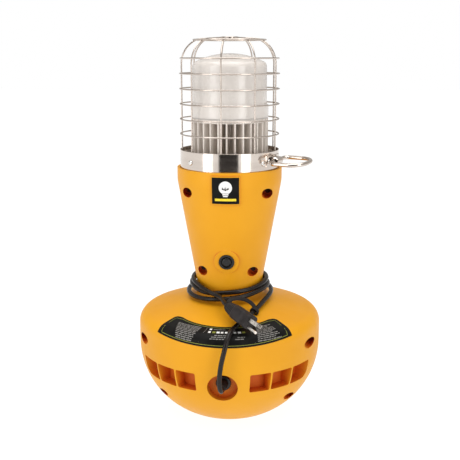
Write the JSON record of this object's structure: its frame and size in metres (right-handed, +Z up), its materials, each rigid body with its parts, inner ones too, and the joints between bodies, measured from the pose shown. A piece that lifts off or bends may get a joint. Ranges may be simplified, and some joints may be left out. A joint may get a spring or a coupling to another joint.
{
  "type": "work light",
  "caption": "Self-righting work light with a weighted bowl base, tapered neck, wire cage over a frosted lens, hanging ring and a mains cord wound round its neck.",
  "frame": {"origin": "centre of the flat foot under the bowl, on the surface the light stands on", "axes": "+Z up along the light's axis, -Y out of the front face with the button and cord outlet, +X to the viewer's right"},
  "size_m": [0.331, 0.3515, 0.686],
  "materials": {
    "housing": "satin moulded, amber orange",
    "zinc_screw": "zinc plated",
    "cast_weight": "rough cast",
    "black_plastic": "fine texture",
    "black_rubber": "matt",
    "label_black": "printed film",
    "polished_steel": "polished stainless",
    "cage_steel": "bright drawn wire",
    "sink_aluminium": "extruded",
    "frosted_lens": "frosted diffuser",
    "board_white": "solder mask",
    "led_chip": "phosphor",
    "wire_black": "insulation",
    "cord_black": "satin jacket",
    "blade_metal": "nickel plated"
  },
  "bodies": {
    "housing": {"badge_plate": "label_black", "ballast_screws": "zinc_screw", "ballast_weight": "cast_weight", "base_label": "label_black", "bracket_rivets": "polished_steel", "cage_bars": "cage_steel", "cage_foot_ring": "cage_steel", "cage_hoop_1": "cage_steel", "cage_hoop_2": "cage_steel", "cage_hoop_3": "cage_steel", "cage_hoop_4": "cage_steel", "cage_hoop_5": "cage_steel", "cage_hoop_6": "cage_steel", "cage_hub": "cage_steel", "cage_top_hoop": "cage_steel", "collar_band": "polished_steel", "collar_screws": "polished_steel", "cord_gland": "black_plastic", "cord_lead": "cord_black", "cord_tail": "cord_black", "cord_wrap": "cord_black", "driver_posts": "zinc_screw", "driver_wires": "wire_black", "front_shell": "housing", "gland_nut": "black_plastic", "heat_sink": "sink_aluminium", "led_board": "board_white", "led_chips": "led_chip", "led_driver": "sink_aluminium", "lens": "frosted_lens", "lens_gasket": "black_rubber", "mains_wires": "wire_black", "mount_plate": "cage_steel", "mount_plate_screws": "zinc_screw", "plug_blades": "blade_metal", "plug_body": "cord_black", "plug_ground_pin": "blade_metal", "rear_shell": "housing", "ring_bracket": "polished_steel", "shell_screws": "zinc_screw", "strain_relief": "black_rubber", "switch_bezel": "black_plastic", "switch_body": "black_plastic", "switch_nut": "black_plastic", "switch_wires": "wire_black", "terminal_block": "board_white"},
    "ring": {"hanging_ring": "polished_steel"},
    "button": {"switch_button": "black_rubber"}
  },
  "joints": [
    {"name": "ring_hinge", "type": "hinge", "parent": "housing", "child": "ring", "pos_m": [0.08537, -0.03981, 0.478], "axis": [-0.421, -0.9029, -0.0872], "range_deg": [-80, 90]},
    {"name": "button_press", "type": "slide", "parent": "housing", "child": "button", "axis": [0, 0.9845, 0.1754], "range_m": [0, 0.0025], "stiffness_N_per_m": 800, "springref_m": -0.001}
  ]
}
